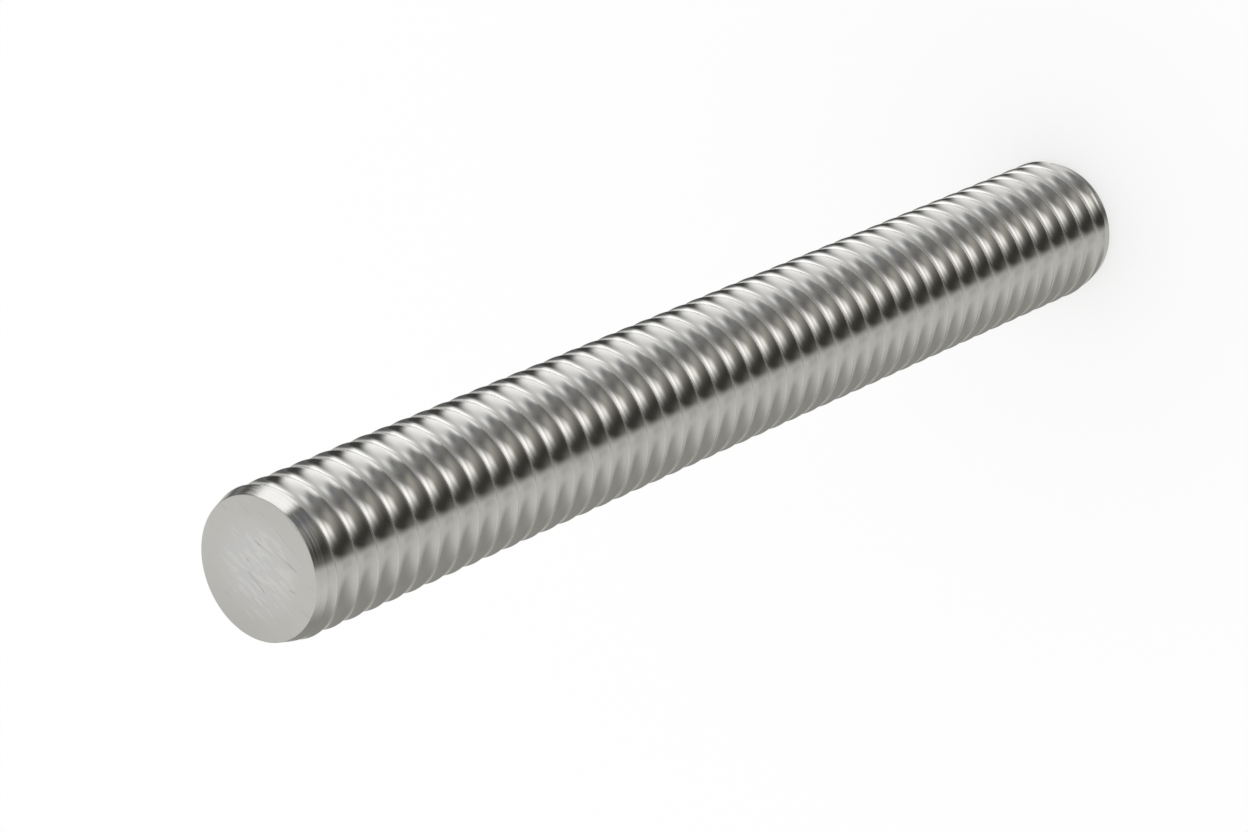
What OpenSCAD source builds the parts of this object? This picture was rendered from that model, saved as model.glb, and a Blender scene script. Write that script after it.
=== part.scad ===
// Threaded rod: one solid bar with a continuous right-hand thread of shallow rounded form from end
// face to end face. The crest is a narrow rounded ridge and the groove between two crests is a wide
// shallow hollow. The rod stands on its lower end face, with the origin at the centre of that face.

/* [Rod] */
// Length between the two end faces
rod_length = 138; // [80:1:180]
// Diameter over the thread crests
rod_diameter = 16; // [12:0.5:24]

/* [Thread] */
// Distance from one crest to the next along the rod
thread_pitch = 3; // [2.5:0.25:4]
// Depth of the groove below the crest
groove_depth = 0.25; // [0.1:0.05:0.4]
// Width of the rounded ridge at the crest, along the rod
ridge_width = 0.2; // [0.1:0.05:1]
// Direction in which a crest starts from the lower end, in degrees round the axis
thread_start = 167; // [0:1:359]

/* [Ends] */
// How much smaller the radius of each end face is than the radius over the crests
end_chamfer = 0.6; // [0.4:0.05:0.8]
// Length of the tapered chamfer from each end face to its shoulder, along the rod
chamfer_length = 1.5; // [0.6:0.1:2]

/* [Hidden] */

crest_radius = rod_diameter / 2;
face_radius = crest_radius - end_chamfer;
low_shoulder = chamfer_length;
high_shoulder = rod_length - chamfer_length;

// The surface is a net of triangles: columns run up the rod, and rows follow the thread's helix.
// One row lies on the crest and the others are spread evenly across the groove. The number of
// columns follows from the number of turns, so that a longer rod or a finer thread stays a net of
// about the same size.
net_triangles = 11800;
rows_per_turn = 5;
turns = rod_length / thread_pitch;
columns = 4 * floor(net_triangles / (8 * rows_per_turn * (turns + 1)));
column_angle = 360 / columns;
row_step = thread_pitch / rows_per_turn;

// Rows are numbered from one turn below the rod to one turn above it, so that every column is
// covered from shoulder to shoulder. A row closer to a shoulder than the margin is left out, so
// that no triangle is a sliver.
first_row = -rows_per_turn;
last_row = rows_per_turn * ceil(turns + 1);
row_margin = row_step / 5;

// Thread section: an arched ridge and an arched hollow, which meet with the same slope. The share
// is the distance from the nearest crest line as a part of the pitch, from 0 to 0.5.
ridge_share = ridge_width / thread_pitch;
ridge_height = groove_depth * ridge_share;
hollow_height = groove_depth - ridge_height;
function ridge_radius(share) = crest_radius - ridge_height * pow(2 * share / ridge_share, 2);
function hollow_radius(share) = crest_radius - groove_depth
    + hollow_height * pow((1 - 2 * share) / (1 - ridge_share), 2);
function section_radius(share) =
    2 * share < ridge_share ? ridge_radius(share) : hollow_radius(share);

// Height above the crest line that lies next below, as a part of the pitch, from 0 to 1.
function part_of_turn(z, angle) =
    let (climb = z / thread_pitch - (angle - thread_start) / 360)
    climb - floor(climb);
function thread_radius(z, angle) =
    let (part = part_of_turn(z, angle))
    section_radius(min(part, 1 - part));

// Height of a row at an angle: it climbs by the pitch in a full turn.
function row_height(row, angle) = row_step * row + thread_pitch * (angle - thread_start) / 360;

function rim_point(radius, angle, z) = [radius * cos(angle), radius * sin(angle), z];
function thread_point(z, angle) = rim_point(thread_radius(z, angle), angle, z);

// Rows that lie between the two shoulders at an angle.
function rows_between(angle) = [
    for (row = [first_row : last_row])
        let (z = row_height(row, angle))
        if (z > low_shoulder + row_margin && z < high_shoulder - row_margin) row
];
column_rows = [for (column = [0 : columns - 1]) rows_between(column * column_angle)];

// Points of a column: lower face, lower shoulder, the rows between, upper shoulder, upper face.
function column_points(column) =
    let (angle = column * column_angle)
    concat(
        [rim_point(face_radius, angle, 0)],
        [thread_point(low_shoulder, angle)],
        [for (row = column_rows[column]) thread_point(row_height(row, angle), angle)],
        [thread_point(high_shoulder, angle)],
        [rim_point(face_radius, angle, rod_length)]
    );
net_columns = [for (column = [0 : columns - 1]) column_points(column)];

// Number of the first point of each column, and of one past the last column.
column_starts = [
    for (column = 0, start = 0; column <= columns;
         start = start + (column < columns ? len(net_columns[column]) : 0), column = column + 1)
        start
];
function low_rim(column) = column_starts[column];
function high_rim(column) = column_starts[column + 1] - 1;

// Number of the point that stands for a row in a column. The lower shoulder's point stands for
// every row below it, and the upper shoulder's for every row above it.
function row_point(column, row) =
    let (first = column_rows[column][0], count = len(column_rows[column]))
    row < first ? low_rim(column) + 1
    : row >= first + count ? high_rim(column) - 1
    : low_rim(column) + 2 + row - first;

// A row comes back to the first column one turn higher than it left it.
function next_column(column) = (column + 1) % columns;
function next_row(column, row) = column + 1 < columns ? row : row + rows_per_turn;

// Corners are listed clockwise as seen from outside the rod, and a patch is cut into two triangles.
function patch_triangles(low, high, next_low, next_high) =
    [[low, high, next_low], [high, next_high, next_low]];
function has_area(face) = face[0] != face[1] && face[1] != face[2] && face[2] != face[0];

thread_faces = [
    for (column = [0 : columns - 1], row = [first_row - 1 : last_row])
        let (next = next_column(column), beside = next_row(column, row))
        for (face = patch_triangles(
            row_point(column, row), row_point(column, row + 1),
            row_point(next, beside), row_point(next, beside + 1)))
            if (has_area(face)) face
];
chamfer_faces = [
    for (column = [0 : columns - 1])
        let (next = next_column(column))
        for (face = concat(
            patch_triangles(low_rim(column), low_rim(column) + 1, low_rim(next), low_rim(next) + 1),
            patch_triangles(
                high_rim(column) - 1, high_rim(column), high_rim(next) - 1, high_rim(next))))
            face
];
end_faces = [
    [for (column = [0 : columns - 1]) low_rim(column)],
    [for (column = [columns - 1 : -1 : 0]) high_rim(column)]
];

module threaded_rod() {
    color([0.72, 0.72, 0.71])
    polyhedron(
        points = [for (column = net_columns) for (point = column) point],
        faces = concat(thread_faces, chamfer_faces, end_faces),
        convexity = 4
    );
}

threaded_rod();
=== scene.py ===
"""Threaded rod of bright rolled steel, standing on its end in a pale studio.

The rod is one solid piece. Its thread has a narrow arched ridge and a wide shallow hollow, rolled
from end to end, and its two end faces are ground flat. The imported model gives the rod's box, and
everything else follows from it and from the sizes of the thread.
"""

from __future__ import annotations

import logging
import math
from dataclasses import dataclass
from enum import Enum
from typing import Union

import bmesh
import bpy
from mathutils import Matrix, Vector


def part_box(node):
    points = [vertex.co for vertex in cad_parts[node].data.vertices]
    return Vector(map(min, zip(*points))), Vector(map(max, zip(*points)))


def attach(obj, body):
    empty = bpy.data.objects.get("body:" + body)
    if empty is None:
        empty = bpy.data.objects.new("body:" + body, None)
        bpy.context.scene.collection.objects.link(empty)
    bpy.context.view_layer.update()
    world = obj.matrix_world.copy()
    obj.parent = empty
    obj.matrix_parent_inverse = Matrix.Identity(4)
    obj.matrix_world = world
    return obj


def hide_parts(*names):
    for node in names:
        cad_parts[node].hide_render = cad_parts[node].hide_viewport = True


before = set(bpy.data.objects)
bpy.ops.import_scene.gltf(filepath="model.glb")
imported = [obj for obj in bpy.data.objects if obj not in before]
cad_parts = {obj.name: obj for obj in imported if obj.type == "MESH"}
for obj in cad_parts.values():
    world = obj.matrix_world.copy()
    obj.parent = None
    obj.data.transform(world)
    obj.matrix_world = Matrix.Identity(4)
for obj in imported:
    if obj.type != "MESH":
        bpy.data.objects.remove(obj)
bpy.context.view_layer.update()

LOG = logging.getLogger("threaded_rod")
MM = 0.001
FULL_TURN = 2 * math.pi

# The value that a noise swings about.
NOISE_MIDDLE = 0.5

# Points closer than this are one point, and a point this close to a cut lies on it.
SAME_POINT = 0.002 * MM
ON_CUT = 0.001 * MM

Colour = tuple[float, float, float]
Shade = Union[Colour, bpy.types.NodeSocket]
Settings = dict[str, object]
Sockets = dict[Union[str, int], object]

WHITE: Colour = (1.0, 1.0, 1.0)


# ---------------------------------------------------------------- shader maths


class Value:
    """A number that varies over a surface, held as a node's output, with the usual arithmetic."""

    def __init__(self, graph: Graph, socket: bpy.types.NodeSocket) -> None:
        """Wraps an output socket of a graph."""
        self.graph = graph
        self.socket = socket

    def _math(self, operation: str, first: Number, second: Number) -> Value:
        """Adds a Math node.

        Args:
            operation: Name of the node's operation.
            first: Value of the first input.
            second: Value of the second input.

        Returns:
            The node's result.
        """
        node = self.graph.node("ShaderNodeMath", {"operation": operation}, {0: first, 1: second})
        return Value(self.graph, node.outputs[0])

    def __add__(self, other: Number) -> Value:
        """This value plus another."""
        return self._math("ADD", self, other)

    def __radd__(self, other: Number) -> Value:
        """Another value plus this one."""
        return self._math("ADD", other, self)

    def __sub__(self, other: Number) -> Value:
        """This value less another."""
        return self._math("SUBTRACT", self, other)

    def __rsub__(self, other: Number) -> Value:
        """Another value less this one."""
        return self._math("SUBTRACT", other, self)

    def __mul__(self, other: Number) -> Value:
        """This value times another."""
        return self._math("MULTIPLY", self, other)

    def __rmul__(self, other: Number) -> Value:
        """Another value times this one."""
        return self._math("MULTIPLY", other, self)

    def __truediv__(self, other: Number) -> Value:
        """This value divided by another."""
        return self._math("DIVIDE", self, other)

    def __abs__(self) -> Value:
        """This value without its sign."""
        return self._math("ABSOLUTE", self, 0.0)

    def part(self) -> Value:
        """What this value has beyond a whole number, from 0 to 1."""
        return self._math("FRACT", self, 0.0)

    def sine(self) -> Value:
        """Sine of this value in radians."""
        return self._math("SINE", self, 0.0)

    def cosine(self) -> Value:
        """Cosine of this value in radians."""
        return self._math("COSINE", self, 0.0)

    def arcsine(self) -> Value:
        """Angle in radians whose sine is this value."""
        return self._math("ARCSINE", self, 0.0)

    def bearing(self, across: Value) -> Value:
        """Angle in radians of the direction that has this value as its y and another as its x."""
        return self._math("ARCTAN2", self, across)

    def step(self, start: float, end: float) -> Value:
        """Rises smoothly from 0 to 1.

        Args:
            start: Value at which the result is still 0.
            end: Value from which the result is 1. It may lie below the start.

        Returns:
            The smooth step.
        """
        settings = {"interpolation_type": "SMOOTHSTEP", "clamp": True}
        flip = start > end
        low, high = (end, start) if flip else (start, end)
        sockets = {"Value": self, "From Min": low, "From Max": high, "To Min": 0.0, "To Max": 1.0}
        node = self.graph.node("ShaderNodeMapRange", settings, sockets)
        rise = Value(self.graph, node.outputs[0])
        return 1 - rise if flip else rise


Number = Union[float, Value]


class Graph:
    """A node tree that is filled by one method for every type of node."""

    def __init__(self, tree: bpy.types.NodeTree) -> None:
        """Empties the tree."""
        self.tree = tree
        tree.nodes.clear()

    def node(
        self, kind: str, settings: Settings | None = None, sockets: Sockets | None = None
    ) -> bpy.types.Node:
        """Adds a node, sets it up and feeds its inputs.

        Args:
            kind: Type of the node.
            settings: The node's own settings, such as its operation.
            sockets: What goes into each input, by its name or number: a Value, an output socket
                or a constant.

        Returns:
            The new node.
        """
        node = self.tree.nodes.new(kind)
        for name, setting in (settings or {}).items():
            setattr(node, name, setting)
        for name, value in (sockets or {}).items():
            if isinstance(value, Value):
                value = value.socket
            if isinstance(value, bpy.types.NodeSocket):
                self.tree.links.new(value, node.inputs[name])
            else:
                node.inputs[name].default_value = value
        return node

    def object_axes(self) -> tuple[Value, Value, Value]:
        """Object coordinates of the shaded point: x, y and z in metres."""
        place = self.node("ShaderNodeTexCoord").outputs["Object"]
        parts = self.node("ShaderNodeSeparateXYZ", sockets={0: place}).outputs
        return Value(self, parts[0]), Value(self, parts[1]), Value(self, parts[2])

    def point(self, x: Number, y: Number, z: Number) -> bpy.types.NodeSocket:
        """Joins three values to a vector."""
        return self.node("ShaderNodeCombineXYZ", sockets={0: x, 1: y, 2: z}).outputs[0]

    def along(self, vector: bpy.types.NodeSocket, axis: Vector) -> Value:
        """How far a vector reaches along an axis."""
        settings = {"operation": "DOT_PRODUCT"}
        node = self.node("ShaderNodeVectorMath", settings, {0: vector, 1: tuple(axis)})
        return Value(self, node.outputs["Value"])

    def noise(self, place: bpy.types.NodeSocket, scale: float, detail: float = 3.0) -> Value:
        """Soft noise from 0 to 1, mostly near 0.5.

        Args:
            place: Point at which the noise is taken.
            scale: How many times the noise changes over one unit.
            detail: How many finer layers lie over the first.

        Returns:
            The noise.
        """
        sockets = {"Vector": place, "Scale": scale, "Detail": detail, "Roughness": 0.6}
        node = self.node("ShaderNodeTexNoise", sockets=sockets)
        return Value(self, node.outputs["Fac"])

    def mix(self, share: Number, first: Shade, second: Shade) -> bpy.types.NodeSocket:
        """Blends two colours.

        Args:
            share: Share of the second colour, from 0 to 1.
            first: A colour, or an output socket that gives one.
            second: A colour, or an output socket that gives one.

        Returns:
            The blended colour.
        """
        settings = {"data_type": "RGBA", "clamp_factor": True}
        sockets = {0: share, 6: _opaque(first), 7: _opaque(second)}
        return self.node("ShaderNodeMix", settings, sockets).outputs[2]

    def blend(
        self, share: Number, first: bpy.types.Node, second: bpy.types.Node
    ) -> bpy.types.NodeSocket:
        """Blends two shaders.

        Args:
            share: Share of the second shader, from 0 to 1.
            first: The first shader's node.
            second: The second shader's node.

        Returns:
            The blended shader.
        """
        sockets = {"Fac": share, 1: first.outputs[0], 2: second.outputs[0]}
        return self.node("ShaderNodeMixShader", sockets=sockets).outputs[0]

    def bump(self, height: Value, depth: float) -> bpy.types.NodeSocket:
        """Turns a height into a bent normal.

        Args:
            height: Height of the surface, in parts of the depth.
            depth: Height in metres that a value of 1 stands for.

        Returns:
            The normal.
        """
        sockets = {"Height": height, "Distance": depth, "Strength": 1.0}
        return self.node("ShaderNodeBump", sockets=sockets).outputs[0]


def _opaque(colour: Shade) -> tuple[float, ...] | bpy.types.NodeSocket:
    """Adds full cover to a plain colour, and leaves a socket as it is."""
    return (*colour, 1.0) if isinstance(colour, tuple) else colour


# ---------------------------------------------------------------- the rod's form


class End(Enum):
    """The two ends of the rod: the value is the way that the end face looks along Z."""

    LOWER = -1
    UPPER = 1


class Slot(Enum):
    """The two finishes of the rod, in the order in which its mesh holds them."""

    ROLLED = 0
    GROUND = 1


@dataclass(frozen=True)
class ThreadForm:
    """Section and course of the rolled thread, in metres and degrees.

    Attributes:
        pitch: Distance from one crest to the next along the rod.
        depth: Depth of the hollow below the crest.
        ridge_width: Width of the arched ridge at the crest, along the rod.
        start: Direction round the axis in which a crest passes the lower end face.
        ridge_steps: Flat strips on each side of the crest, over half of the ridge.
        hollow_steps: Flat strips across the hollow, between its two narrow edge strips.
    """

    pitch: float = 3.0 * MM
    depth: float = 0.25 * MM
    ridge_width: float = 0.2 * MM
    start: float = 167.0
    ridge_steps: int = 2
    hollow_steps: int = 7

    def drop(self, share: float) -> float:
        """Depth of the surface below the crest.

        Args:
            share: Distance from the nearest crest, as a part of the pitch, from 0 to 0.5.

        Returns:
            The depth in metres.
        """
        ridge = self.ridge_width / self.pitch
        if 2 * share < ridge:
            return self.depth * ridge * (2 * share / ridge) ** 2
        return self.depth - self.depth * (1 - ridge) * ((1 - 2 * share) / (1 - ridge)) ** 2

    def section(self, crest_radius: float) -> list[Vector]:
        """Points of the section from one crest to the next, in the plane of X and Z.

        Args:
            crest_radius: Radius of the rod at the crests.

        Returns:
            The points, with the first crest at z = 0.
        """
        narrow = self.ridge_width / self.pitch / 2 / self.ridge_steps
        rise = [narrow * step for step in range(self.ridge_steps + 1)]
        edge = rise[-1] + narrow
        wide = (1 - 2 * edge) / self.hollow_steps
        hollow = [edge + wide * step for step in range(self.hollow_steps + 1)]
        fall = [1 - part for part in reversed(rise)]
        return [
            Vector((crest_radius - self.drop(min(part, 1 - part)), 0, part * self.pitch))
            for part in rise + hollow + fall
        ]


# ---------------------------------------------------------------- finishes


@dataclass(frozen=True)
class RolledSteel:
    """Bright steel as the thread rollers leave it: fine lines that run with the thread.

    Attributes:
        colour: Colour of the clean metal.
        dull_colour: Colour of the faint dull patches.
        worn_colour: Colour of the crests, where they are worn.
        roughness: Roughness of the clean metal.
        line_roughness: How much the lines add to it.
        crest_roughness: How much the worn crests add to it.
        dull_roughness: How much the dull patches add to it.
        dull_limits: Noise at which a dull patch starts and is full.
        dull_tint: Share of the dull colour in a dull patch.
        line_tint: How far the lines swing towards the dull colour.
        wear: Share of the worn colour on the crests.
        crest_width: Where the wear beside a crest is full and where it ends, in parts of the pitch.
        crest_drop: Where the wear below the crests is full and where it ends, in metres.
        patches: How many times the dull patches change over one metre round the rod.
        patch_rise: Share of that change over one metre along the rod.
        depth: Depth in metres that a height of 1 stands for.
        lines: Number of fine lines across one pitch, about.
        line_height: Height of the lines, in parts of the depth.
        line_drift: Pitches over which the lines change.
        bands: Number of broad low waves across one pitch, about.
        band_height: Height of the waves, in parts of the depth.
        band_drift: Pitches over which the waves change.
        rings: Number of turning marks over one metre of the chamfer, about.
        ring_height: Height of the turning marks, in parts of the depth.
        ring_breaks: How many times a turning mark changes over one metre of its course.
        ring_share: Share of the chamfer, from its face on, over which the turning marks are full.
    """

    colour: Colour = (0.80, 0.795, 0.785)
    dull_colour: Colour = (0.70, 0.70, 0.68)
    worn_colour: Colour = (0.93, 0.93, 0.92)
    roughness: float = 0.10
    line_roughness: float = 0.08
    crest_roughness: float = 0.22
    dull_roughness: float = 0.08
    dull_limits: tuple[float, float] = (0.50, 0.75)
    dull_tint: float = 0.5
    line_tint: float = 2.0
    wear: float = 0.8
    crest_width: tuple[float, float] = (0.03, 0.07)
    crest_drop: tuple[float, float] = (0.03 * MM, 0.1 * MM)
    patches: float = 260.0
    patch_rise: float = 0.6
    depth: float = 2.4e-6
    lines: float = 22.0
    line_height: float = 0.5
    line_drift: float = 0.6
    bands: float = 7.0
    band_height: float = 2.5
    band_drift: float = 2.0
    rings: float = 4000.0
    ring_height: float = 11.0
    ring_breaks: float = 90.0
    ring_share: float = 0.8

    def material(
        self, thread: ThreadForm, crest_radius: float, length: float, taper: float
    ) -> bpy.types.Material:
        """Makes the finish.

        Args:
            thread: The thread whose course the lines follow.
            crest_radius: Radius of the rod at the crests.
            length: Length of the rod.
            taper: Length of the tapered chamfer at each end.

        Returns:
            The material.
        """
        material, graph = new_material("rolled_steel")
        x, y, z = graph.object_axes()
        turn = z / thread.pitch - y.bearing(x) / FULL_TURN + thread.start / 360
        crest = self._crest(x, y, turn, crest_radius)
        lines = self._lines(graph, turn, z / (self.line_drift * thread.pitch), self.lines)
        bands = self._lines(graph, turn, z / (self.band_drift * thread.pitch), self.bands)
        patches = graph.noise(graph.point(x, y, z * self.patch_rise), self.patches)
        dull = patches.step(*self.dull_limits) * (1 - crest)
        swing = lines - NOISE_MIDDLE
        fine = swing * self.line_roughness + dull * self.dull_roughness
        roughness = self.roughness + fine + crest * self.crest_roughness
        tint = swing * self.line_tint + dull * self.dull_tint
        clean = graph.mix(tint, self.colour, self.dull_colour)
        colour = graph.mix(crest * self.wear, clean, self.worn_colour)
        from_middle = abs(z - length / 2)
        turned = from_middle.step(length / 2 - taper, length / 2 - taper * self.ring_share)
        course = graph.point(x * self.ring_breaks, y * self.ring_breaks, z * self.rings)
        rings = graph.noise(course, 1.0, 2.0) * turned
        thread_marks = lines * self.line_height + bands * self.band_height
        height = thread_marks + rings * self.ring_height
        finish_metal(graph, colour, roughness, graph.bump(height, self.depth))
        return material

    def _crest(self, x: Value, y: Value, turn: Value, crest_radius: float) -> Value:
        """How worn the crest is at a point.

        Args:
            x: The point's x.
            y: The point's y.
            turn: Turns of the thread from the lower end face to the point.
            crest_radius: Radius of the rod at the crests.

        Returns:
            The wear, from 0 to 1.
        """
        worn_width, sound_width = self.crest_width
        worn_drop, sound_drop = self.crest_drop
        from_crest = abs((turn + 0.5).part() - 0.5)
        reach = x * x + y * y
        full = reach.step((crest_radius - sound_drop) ** 2, (crest_radius - worn_drop) ** 2)
        return from_crest.step(sound_width, worn_width) * full

    @staticmethod
    def _lines(graph: Graph, turn: Value, drift: Value, count: float) -> Value:
        """Lines that run round with the thread and change slowly along their course.

        Args:
            graph: The material's graph.
            turn: Turns of the thread from the lower end face to the shaded point.
            drift: Slow change from one turn to the next.
            count: Number of lines across one pitch, about.

        Returns:
            The lines' height, from 0 to 1.
        """
        angle = turn * FULL_TURN
        spread = count / FULL_TURN
        course = graph.point(angle.cosine() * spread, angle.sine() * spread, drift)
        return graph.noise(course, 1.0, 3.0)


@dataclass(frozen=True)
class Marks:
    """Noise that is stretched in the direction of grinding.

    Attributes:
        along: How many times it changes over one metre along that direction.
        across: How many times it changes over one metre across it.
        layer: Which layer of the noise is taken, so that no two kinds of marks agree.
        detail: How many finer layers lie over the first.
    """

    along: float
    across: float
    layer: float
    detail: float

    def spread(self, graph: Graph, along: Value, across: Value, z: Value) -> Value:
        """Lays the marks over a face.

        Args:
            graph: The material's graph.
            along: Place along the direction of grinding, in metres.
            across: Place across it, in metres.
            z: Height in metres.

        Returns:
            The marks, from 0 to 1.
        """
        place = graph.point(along * self.along, across * self.across, z + self.layer)
        return graph.noise(place, 1.0, self.detail)


@dataclass(frozen=True)
class GroundSteel:
    """Steel of the end faces: matt, with straight grinding marks in one direction and a painted
    sheen in the middle.

    Attributes:
        colour: Colour of the ground metal.
        cloud_and_sheen_colour: Colour of its cooler, lighter clouds, and of the painted sheen in
            the middle.
        stroke_and_sheen_colour: Colour of the short light strokes, which the painted sheen gathers
            in the middle.
        scratch_colour: Colour of the thin scratches.
        roughness: Roughness of the ground metal.
        mark_direction: Direction of the grinding marks round Z, in degrees from X.
        mark_depth: Depth of the deepest marks in metres.
        grain_roughness: How far the grain swings the roughness.
        cloud_roughness: How far the clouds swing it.
        grain_tint: How far the grain swings towards the strokes' colour.
        stroke_tint: Share of their colour in the strokes.
        scratch_tint: Share of their colour in the scratches.
        clouds: How many times the clouds change over one metre.
        cloud_level: Noise above which a cloud is cool.
        middle: Distances from the axis at which the painted sheen in the middle ends and is full,
            in metres.
        sheen_share: Share of the strokes and of the cool tint that only the painted sheen in the
            middle has.
        sheen_strokes: How much more easily a stroke starts in the painted sheen in the middle.
        grain: The even fine grain.
        patches: Patches whose brightest parts are the light strokes.
        waves: Waves whose middle lines are the scratches.
        breaks: Patches that break the scratches up.
        stroke_limits: Brightness of a patch at which a stroke starts and is full.
        stroke_height: Height of a stroke, in parts of the deepest marks.
        scratch_width: Distances from a wave's middle at which a scratch ends and is full.
        break_limits: Brightness of a patch at which a scratch starts and is full.
    """

    colour: Colour = (0.815, 0.812, 0.795)
    cloud_and_sheen_colour: Colour = (0.885, 0.89, 0.92)
    stroke_and_sheen_colour: Colour = (1.0, 1.0, 1.0)
    scratch_colour: Colour = (0.58, 0.58, 0.56)
    roughness: float = 0.40
    mark_direction: float = 27.0
    mark_depth: float = 4.0e-6
    grain_roughness: float = 0.2
    cloud_roughness: float = 0.1
    grain_tint: float = 0.8
    stroke_tint: float = 0.6
    scratch_tint: float = 0.55
    clouds: float = 150.0
    cloud_level: float = 0.4
    middle: tuple[float, float] = (6.0 * MM, 0.5 * MM)
    sheen_share: float = 0.8
    sheen_strokes: float = 0.12
    grain: Marks = Marks(along=220, across=3200, layer=0, detail=4.0)
    patches: Marks = Marks(along=480, across=1900, layer=3, detail=2.0)
    waves: Marks = Marks(along=90, across=1000, layer=7, detail=0.0)
    breaks: Marks = Marks(along=300, across=900, layer=11, detail=1.0)
    stroke_limits: tuple[float, float] = (0.60, 0.68)
    stroke_height: float = 0.4
    scratch_width: tuple[float, float] = (0.020, 0.006)
    break_limits: tuple[float, float] = (0.55, 0.62)

    def material(self) -> bpy.types.Material:
        """Makes the finish.

        Returns:
            The material.
        """
        material, graph = new_material("ground_steel")
        x, y, z = graph.object_axes()
        turn = math.radians(self.mark_direction)
        along = x * math.cos(turn) + y * math.sin(turn)
        across = y * math.cos(turn) - x * math.sin(turn)
        grain = self.grain.spread(graph, along, across, z)
        patches = self.patches.spread(graph, along, across, z)
        waves = self.waves.spread(graph, along, across, z)
        breaks = self.breaks.spread(graph, along, across, z)
        clouds = graph.noise(graph.point(x, y, z), self.clouds, 2.0)
        # painted sheen: the middle of the face is made lighter and cooler, with more light strokes
        middle_sheen = (x * x + y * y).step(*(reach**2 for reach in self.middle))
        light = (patches + middle_sheen * self.sheen_strokes).step(*self.stroke_limits)
        strokes = light * (middle_sheen * self.sheen_share + (1 - self.sheen_share))
        from_line = abs(waves - NOISE_MIDDLE)
        scratches = from_line.step(*self.scratch_width) * breaks.step(*self.break_limits)
        swing = grain - NOISE_MIDDLE
        grained = self.roughness + swing * self.grain_roughness
        roughness = grained + (clouds - NOISE_MIDDLE) * self.cloud_roughness
        # the painted sheen adds the cool tint in the middle of the face
        cool = clouds - self.cloud_level + middle_sheen * self.sheen_share
        base = graph.mix(cool, self.colour, self.cloud_and_sheen_colour)
        bright = strokes * self.stroke_tint + swing * self.grain_tint
        lit = graph.mix(bright, base, self.stroke_and_sheen_colour)
        colour = graph.mix(scratches * self.scratch_tint, lit, self.scratch_colour)
        height = grain + strokes * self.stroke_height - scratches
        finish_metal(graph, colour, roughness, graph.bump(height, self.mark_depth))
        return material


def new_material(name: str) -> tuple[bpy.types.Material, Graph]:
    """Starts a material.

    Args:
        name: Name of the material.

    Returns:
        The material, and its empty node graph.
    """
    material = bpy.data.materials.new(name)
    material.use_nodes = True
    return material, Graph(material.node_tree)


def finish_metal(
    graph: Graph, colour: bpy.types.NodeSocket, roughness: Value, normal: bpy.types.NodeSocket
) -> None:
    """Ends a material's graph as bare metal.

    Args:
        graph: The material's graph.
        colour: Colour of the metal.
        roughness: Roughness of the metal.
        normal: Bent normal of the surface.
    """
    sockets = {"Base Color": colour, "Metallic": 1.0, "Roughness": roughness, "Normal": normal}
    shader = graph.node("ShaderNodeBsdfPrincipled", sockets=sockets)
    graph.node("ShaderNodeOutputMaterial", sockets={"Surface": shader.outputs[0]})


# ---------------------------------------------------------------- the rod


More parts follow.
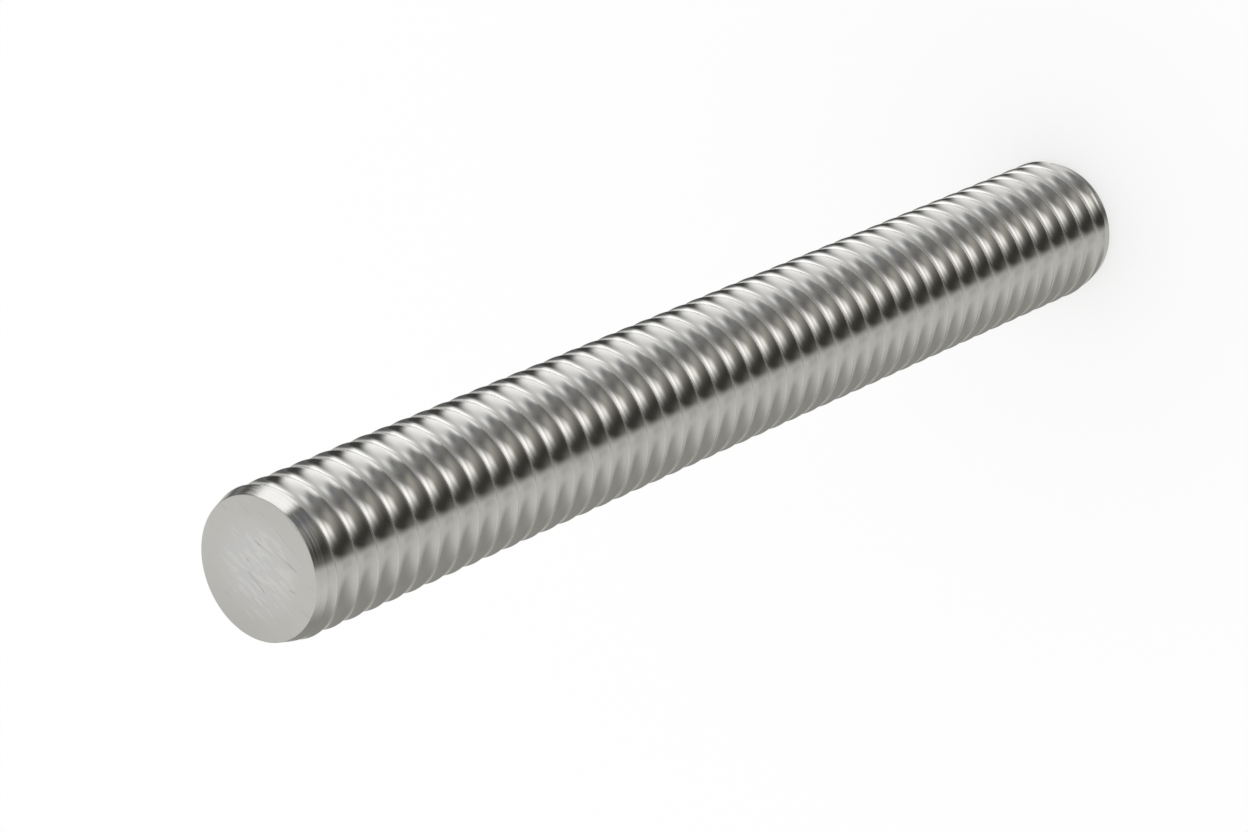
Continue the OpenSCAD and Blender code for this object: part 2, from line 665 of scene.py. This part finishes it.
@dataclass
class ThreadedRod:
    """The rod: a rolled thread from end to end, closed by two ground faces.

    Attributes:
        thread: Section and course of the thread.
        chamfer: How much smaller the radius of an end face is than that of the crests.
        chamfer_length: Length of the tapered chamfer at each end, along the rod.
        edge_break: Width of the rounding on the rim of each end face.
        taper_shares: How much of the way left to the end face each strip of the chamfer goes.
        steps_per_turn: Flat strips round the rod.
        rolled: Finish of the thread.
        ground: Finish of the end faces.
    """

    thread: ThreadForm = ThreadForm()
    chamfer: float = 0.6 * MM
    chamfer_length: float = 1.5 * MM
    edge_break: float = 0.05 * MM
    taper_shares: tuple[float, ...] = (0.15, 0.9, 1.0)
    steps_per_turn: int = 144
    rolled: RolledSteel = RolledSteel()
    ground: GroundSteel = GroundSteel()

    def __post_init__(self) -> None:
        """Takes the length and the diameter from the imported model."""
        low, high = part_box("threaded_rod")
        self.length = high[2] - low[2]
        self.crest_radius = (high[0] - low[0]) / 2
        self.face_radius = self.crest_radius - self.chamfer

    def build(self) -> bpy.types.Object:
        """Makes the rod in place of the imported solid.

        Returns:
            The finished piece.
        """
        mesh_maker = bmesh.new()
        self._roll_thread(mesh_maker)
        for end in End:
            self._trim(mesh_maker, end)
        for end in End:
            self._close(mesh_maker, end)
        bmesh.ops.recalc_face_normals(mesh_maker, faces=mesh_maker.faces)
        mesh = bpy.data.meshes.new("threaded_rod_steel")
        mesh_maker.to_mesh(mesh)
        mesh_maker.free()
        piece = bpy.data.objects.new("threaded_rod_steel", mesh)
        bpy.context.scene.collection.objects.link(piece)
        sizes = self.crest_radius, self.length, self.chamfer_length
        finishes = {
            Slot.ROLLED: self.rolled.material(self.thread, *sizes),
            Slot.GROUND: self.ground.material(),
        }
        for slot in Slot:
            mesh.materials.append(finishes[slot])
        return piece

    def _roll_thread(self, mesh_maker: bmesh.types.BMesh) -> None:
        """Spins the section through one turn, and stacks the turns past both ends."""
        points = self.thread.section(self.crest_radius)
        start = Matrix.Rotation(math.radians(self.thread.start), 3, "Z")
        corners = [mesh_maker.verts.new(start @ point) for point in points]
        edges = [mesh_maker.edges.new(pair) for pair in zip(corners, corners[1:])]
        climb = Vector((0, 0, self.thread.pitch / self.steps_per_turn))
        bmesh.ops.spin(
            mesh_maker,
            geom=corners + edges,
            cent=(0, 0, 0),
            axis=(0, 0, 1),
            dvec=climb,
            angle=FULL_TURN,
            steps=self.steps_per_turn,
            use_merge=False,
        )
        first_turn = list(mesh_maker.verts) + list(mesh_maker.edges) + list(mesh_maker.faces)
        turns = math.ceil(self.length / self.thread.pitch) + 1
        for turn in range(turns):
            copy = bmesh.ops.duplicate(mesh_maker, geom=first_turn)["geom"]
            verts = [part for part in copy if isinstance(part, bmesh.types.BMVert)]
            bmesh.ops.translate(mesh_maker, verts=verts, vec=(0, 0, turn * self.thread.pitch))
        first_verts = [part for part in first_turn if isinstance(part, bmesh.types.BMVert)]
        bmesh.ops.translate(mesh_maker, verts=first_verts, vec=(0, 0, -self.thread.pitch))
        bmesh.ops.remove_doubles(mesh_maker, verts=mesh_maker.verts, dist=SAME_POINT)
        for face in mesh_maker.faces:
            face.smooth = True

    def _shoulder(self, end: End) -> float:
        """Height at which the thread meets the chamfer of an end."""
        return self.chamfer_length if end is End.LOWER else self.length - self.chamfer_length

    def _trim(self, mesh_maker: bmesh.types.BMesh, end: End) -> None:
        """Cuts off the thread past the shoulder of an end."""
        bmesh.ops.bisect_plane(
            mesh_maker,
            geom=list(mesh_maker.verts) + list(mesh_maker.edges) + list(mesh_maker.faces),
            dist=ON_CUT,
            plane_co=(0, 0, self._shoulder(end)),
            plane_no=(0, 0, end.value),
            clear_outer=True,
        )

    def _taper(
        self, mesh_maker: bmesh.types.BMesh, rim: list[bmesh.types.BMEdge], end: End, share: float
    ) -> list[bmesh.types.BMEdge]:
        """Draws the open rim of an end towards its face.

        Args:
            mesh_maker: The mesh in progress.
            rim: Edges of the open rim.
            end: The end of the rod.
            share: How much of the way left to the end face the new rim is drawn, from 0 to 1.

        Returns:
            Edges of the new rim.
        """
        top = Vector((0, 0, self.length if end is End.UPPER else 0.0))
        grown = bmesh.ops.extrude_edge_only(mesh_maker, edges=rim)["geom"]
        for vert in (part for part in grown if isinstance(part, bmesh.types.BMVert)):
            outward = Vector((vert.co.x, vert.co.y, 0)).normalized()
            vert.co = vert.co.lerp(outward * self.face_radius + top, share)
        return [part for part in grown if isinstance(part, bmesh.types.BMEdge) and part.is_boundary]

    def _close(self, mesh_maker: bmesh.types.BMesh, end: End) -> None:
        """Adds the chamfer, the rounded rim and the flat face of an end."""
        shoulder = self._shoulder(end)
        rim = [
            edge
            for edge in mesh_maker.edges
            if edge.is_boundary and abs(edge.verts[0].co.z - shoulder) < SAME_POINT
        ]
        for share in self.taper_shares:
            rim = self._taper(mesh_maker, rim, end, share)
        cap = bmesh.ops.contextual_create(mesh_maker, geom=rim)["faces"][0]
        cap.material_index = Slot.GROUND.value
        bmesh.ops.bevel(
            mesh_maker,
            geom=list(cap.edges),
            offset=self.edge_break,
            offset_type="OFFSET",
            affect="EDGES",
            segments=3,
            profile=0.5,
            material=-1,
            clamp_overlap=True,
        )


# ---------------------------------------------------------------- studio


@dataclass(frozen=True)
class Card:
    """A soft-edged panel of the studio, as the rod sees it: sizes and places are in degrees.

    Attributes:
        azimuth: Direction of its middle round the studio.
        elevation: Height of its middle above the studio's horizon.
        half_width: Half of its width.
        half_height: Half of its height.
        tilt: How far its right side is raised.
        edge: Width over which its edge fades, to each side.
        colour: Its light, where 1 is white.
        side_edge: Width over which its left and right edges fade, where that differs, or 0.
    """

    azimuth: float
    elevation: float
    half_width: float
    half_height: float
    tilt: float
    edge: float
    colour: Colour
    side_edge: float = 0.0


def grey(level: float, warmth: float = 0.0) -> Colour:
    """A grey, made warmer or cooler by a small part, mostly in its blue."""
    return (level * (1 + warmth / 4), level, level * (1 - warmth))


@dataclass(frozen=True)
class Studio:
    """The surroundings: plain white to the camera, a tabletop set with soft cards to the metal.

    Attributes:
        up: Direction of the studio's ceiling in the rod's frame.
        forward: Direction of the studio's far wall in the rod's frame.
        wall: Light of the plain walls.
        cards: What stands in front of them, each over the ones before it.
    """

    up: Vector = Vector((0.8985, -0.4150, -0.1420)).freeze()
    forward: Vector = Vector((-0.1289, 0.0595, -0.9899)).freeze()
    wall: Colour = grey(0.24, 0.05)
    cards: tuple[Card, ...] = (
        # softbox high on the left
        Card(-46, 65, 28, 21, 0, 12, grey(1.10, 0.02)),
        # its spill on the ceiling
        Card(-18, 51, 23, 27, -3, 28, grey(0.70, 0.02)),
        # dim and cool ceiling beside it
        Card(10, 62, 14, 10, 0, 14, grey(0.19, -0.06)),
        # pale screen low on the left
        Card(-37.5, 15.5, 6, 10, 24, 3, grey(0.85, 0.01), 2.5),
        # dim gap below the softbox, and a brighter one on its right
        Card(-33, 24, 6, 5, 0, 5, grey(0.40)),
        Card(-10, 45, 7, 6, 0, 6, grey(0.88, 0.01)),
        # dark edge of the wall on the left
        Card(-57, 2, 11, 16, 0, 3, grey(0.12)),
        # strip light on the left
        Card(-34, 12, 1, 15, -26, 14, grey(2.5, 0.02)),
        # dark flag between the softbox and that edge
        Card(-58, 32, 13, 10, -33, 6, grey(0.05)),
        # dark beam across the ceiling
        Card(46, 56, 56, 1, 22, 19, grey(0.02)),
        # softbox right overhead, and its wing on the left
        Card(0, 90, 180, 13, 0, 6, grey(1.15, 0.01)),
        Card(-88, 72, 24, 18, 0, 5, grey(1.15, 0.01)),
        # two lamps in front
        Card(14, 17, 9, 8, 23, 11, grey(5.2, 0.05)),
        Card(37, 25, 11, 7, 0, 9, grey(4.5, 0.05)),
        # pale screen on the right
        Card(60, 20, 28, 18, -60, 20, (0.75, 0.71, 0.63)),
        # dark far wall
        Card(40, 8, 59, 25, 15, 24, grey(0.04, 0.13)),
        # dark end of the far wall, and a dim panel beside it
        Card(84, 60, 14, 9, 0, 6, grey(0.15, -0.06)),
        Card(102, 36, 14, 15, 0, 7, grey(0.42)),
        # soft panel and dark curtain on the right, behind the camera
        Card(120, 54, 13, 15, 0, 9, grey(0.95, 0.03)),
        Card(150, 10, 24, 28, 0, 9, grey(0.08)),
        # softbox, dark flag and strip light behind the camera on the left
        Card(-160, 50, 26, 14, 0, 12, grey(1.10, 0.03)),
        Card(-104, 29, 13, 8, -37, 7, grey(0.04)),
        Card(-118, 62, 12, 12, 0, 10, grey(0.95, 0.03)),
        # tabletop in front of the rod and behind the camera
        Card(0, -60, 100, 61, -4, 6, grey(0.52, 0.065)),
        Card(180, -66, 95, 60, 8, 9, grey(0.66, 0.04)),
        # light patch and dim stretch on it, and the rod's own shade
        Card(76, -42, 40, 20, 0, 12, grey(0.61, 0.065)),
        Card(50, -9, 16, 3, 0, 7, grey(0.40, 0.065)),
        Card(-40, -80, 78, 57, 3, 5, grey(0.28, 0.065), 34),
    )

    def light(self) -> None:
        """Makes the world."""
        world = bpy.data.worlds.new("studio")
        bpy.context.scene.world = world
        world.use_nodes = True
        graph = Graph(world.node_tree)
        rays = graph.node("ShaderNodeLightPath")
        to_metal = Value(graph, rays.outputs["Is Glossy Ray"])
        colour = graph.mix(to_metal, WHITE, self._surroundings(graph))
        backdrop = graph.node("ShaderNodeBackground", sockets={"Color": colour, "Strength": 1.0})
        graph.node("ShaderNodeOutputWorld", sockets={"Surface": backdrop.outputs[0]})
        # the cards are large and soft, so the steel finds them without a map of the world
        world.cycles.sampling_method = "NONE"

    def _surroundings(self, graph: Graph) -> bpy.types.NodeSocket:
        """Lays the cards over the plain walls.

        Args:
            graph: The world's graph.

        Returns:
            The colour seen in each direction.
        """
        ray = graph.node("ShaderNodeTexCoord").outputs["Generated"]
        side = self.forward.cross(self.up)
        ahead = graph.along(ray, self.forward)
        aside = graph.along(ray, side)
        degree = 180 / math.pi
        azimuth = aside.bearing(ahead) * degree
        elevation = graph.along(ray, self.up).arcsine() * degree
        colour: Shade = self.wall
        for card in self.cards:
            colour = graph.mix(self._cover(card, azimuth, elevation), colour, card.colour)
        return colour

    @staticmethod
    def _cover(card: Card, azimuth: Value, elevation: Value) -> Value:
        """How far a card covers what lies behind it.

        Args:
            card: The card.
            azimuth: Azimuth of the ray, in degrees.
            elevation: Elevation of the ray, in degrees.

        Returns:
            The cover, from 0 to 1.
        """
        tilt = math.radians(card.tilt)
        side_edge = card.side_edge or card.edge
        right = (((azimuth - card.azimuth) / 360 + 0.5).part() - 0.5) * 360
        rise = elevation - card.elevation
        across = abs(right * math.cos(tilt) + rise * math.sin(tilt))
        up = abs(rise * math.cos(tilt) - right * math.sin(tilt))
        width = across.step(card.half_width + side_edge, card.half_width - side_edge)
        height = up.step(card.half_height + card.edge, card.half_height - card.edge)
        return width * height


@dataclass(frozen=True)
class Floor:
    """The plain white floor, which the camera sees and the metal does not.

    Attributes:
        width: Length of each side in metres.
        colour: Colour of the floor as it lights its surroundings.
        paleness: How far the rod's shadow is lightened, from 0 to 1.
    """

    width: float = 8.0
    colour: Colour = (0.8, 0.8, 0.8)
    paleness: float = 0.6

    def build(self) -> bpy.types.Object:
        """Makes the floor.

        Returns:
            The floor.
        """
        mesh_maker = bmesh.new()
        bmesh.ops.create_grid(mesh_maker, x_segments=1, y_segments=1, size=self.width / 2)
        mesh = bpy.data.meshes.new("floor")
        mesh_maker.to_mesh(mesh)
        mesh_maker.free()
        floor = bpy.data.objects.new("floor", mesh)
        bpy.context.scene.collection.objects.link(floor)
        material, graph = new_material("white_floor")
        seen = Value(graph, graph.node("ShaderNodeLightPath").outputs["Is Camera Ray"])
        colour = graph.mix(seen, self.colour, WHITE)
        matt = graph.node("ShaderNodeBsdfDiffuse", sockets={"Color": colour})
        white = graph.node("ShaderNodeEmission", sockets={"Color": _opaque(WHITE)})
        shader = graph.blend(seen * self.paleness, matt, white)
        graph.node("ShaderNodeOutputMaterial", sockets={"Surface": shader})
        mesh.materials.append(material)
        floor.visible_glossy = False
        return floor


@dataclass(frozen=True)
class Camera:
    """A long lens that looks down along the rod from in front, rolled onto its side.

    Attributes:
        elevation: How far it looks down, in degrees.
        roll: How far its top leans to the right, in degrees.
        distance: From the camera to the point it aims at, in metres.
        aim_height: Height of that point on the rod, as a part of the rod's length.
        aim_side: How far that point lies to the side of the axis, in metres.
        lens: Focal length in millimetres.
    """

    elevation: float = 47.71
    roll: float = 113.37
    distance: float = 0.505
    aim_height: float = 0.5923
    aim_side: float = -0.44 * MM
    lens: float = 140.0

    def place(self, rod_length: float) -> bpy.types.Object:
        """Makes the camera and gives it to the scene.

        Args:
            rod_length: Length of the rod in metres.

        Returns:
            The camera.
        """
        camera = bpy.data.objects.new("camera", bpy.data.cameras.new("camera"))
        bpy.context.scene.collection.objects.link(camera)
        camera.data.lens = self.lens
        camera.data.clip_start = 0.01
        camera.data.clip_end = 20.0
        down = Matrix.Rotation(math.radians(90 - self.elevation), 4, "X")
        lean = Matrix.Rotation(math.radians(-self.roll), 4, "Z")
        back = down @ Vector((0, 0, self.distance))
        aim = Vector((self.aim_side, 0, self.aim_height * rod_length))
        camera.matrix_world = Matrix.Translation(aim + back) @ down @ lean
        bpy.context.scene.camera = camera
        return camera


# ---------------------------------------------------------------- making


def report(piece: bpy.types.Object) -> None:
    """Logs the size of a finished piece."""
    size = ", ".join(f"{1000 * side:.1f}" for side in piece.dimensions)
    LOG.info("%s: %s mm, %d faces", piece.name, size, len(piece.data.polygons))


def main() -> None:
    """Builds the rod, the floor, the studio and the camera."""
    logging.basicConfig(level=logging.INFO, format="%(message)s")
    bpy.context.scene.view_settings.view_transform = "Standard"
    rod = ThreadedRod()
    piece = rod.build()
    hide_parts("threaded_rod")
    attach(piece, "root")
    report(piece)
    report(Floor().build())
    Studio().light()
    Camera().place(rod.length)


if __name__ == "__main__":
    main()
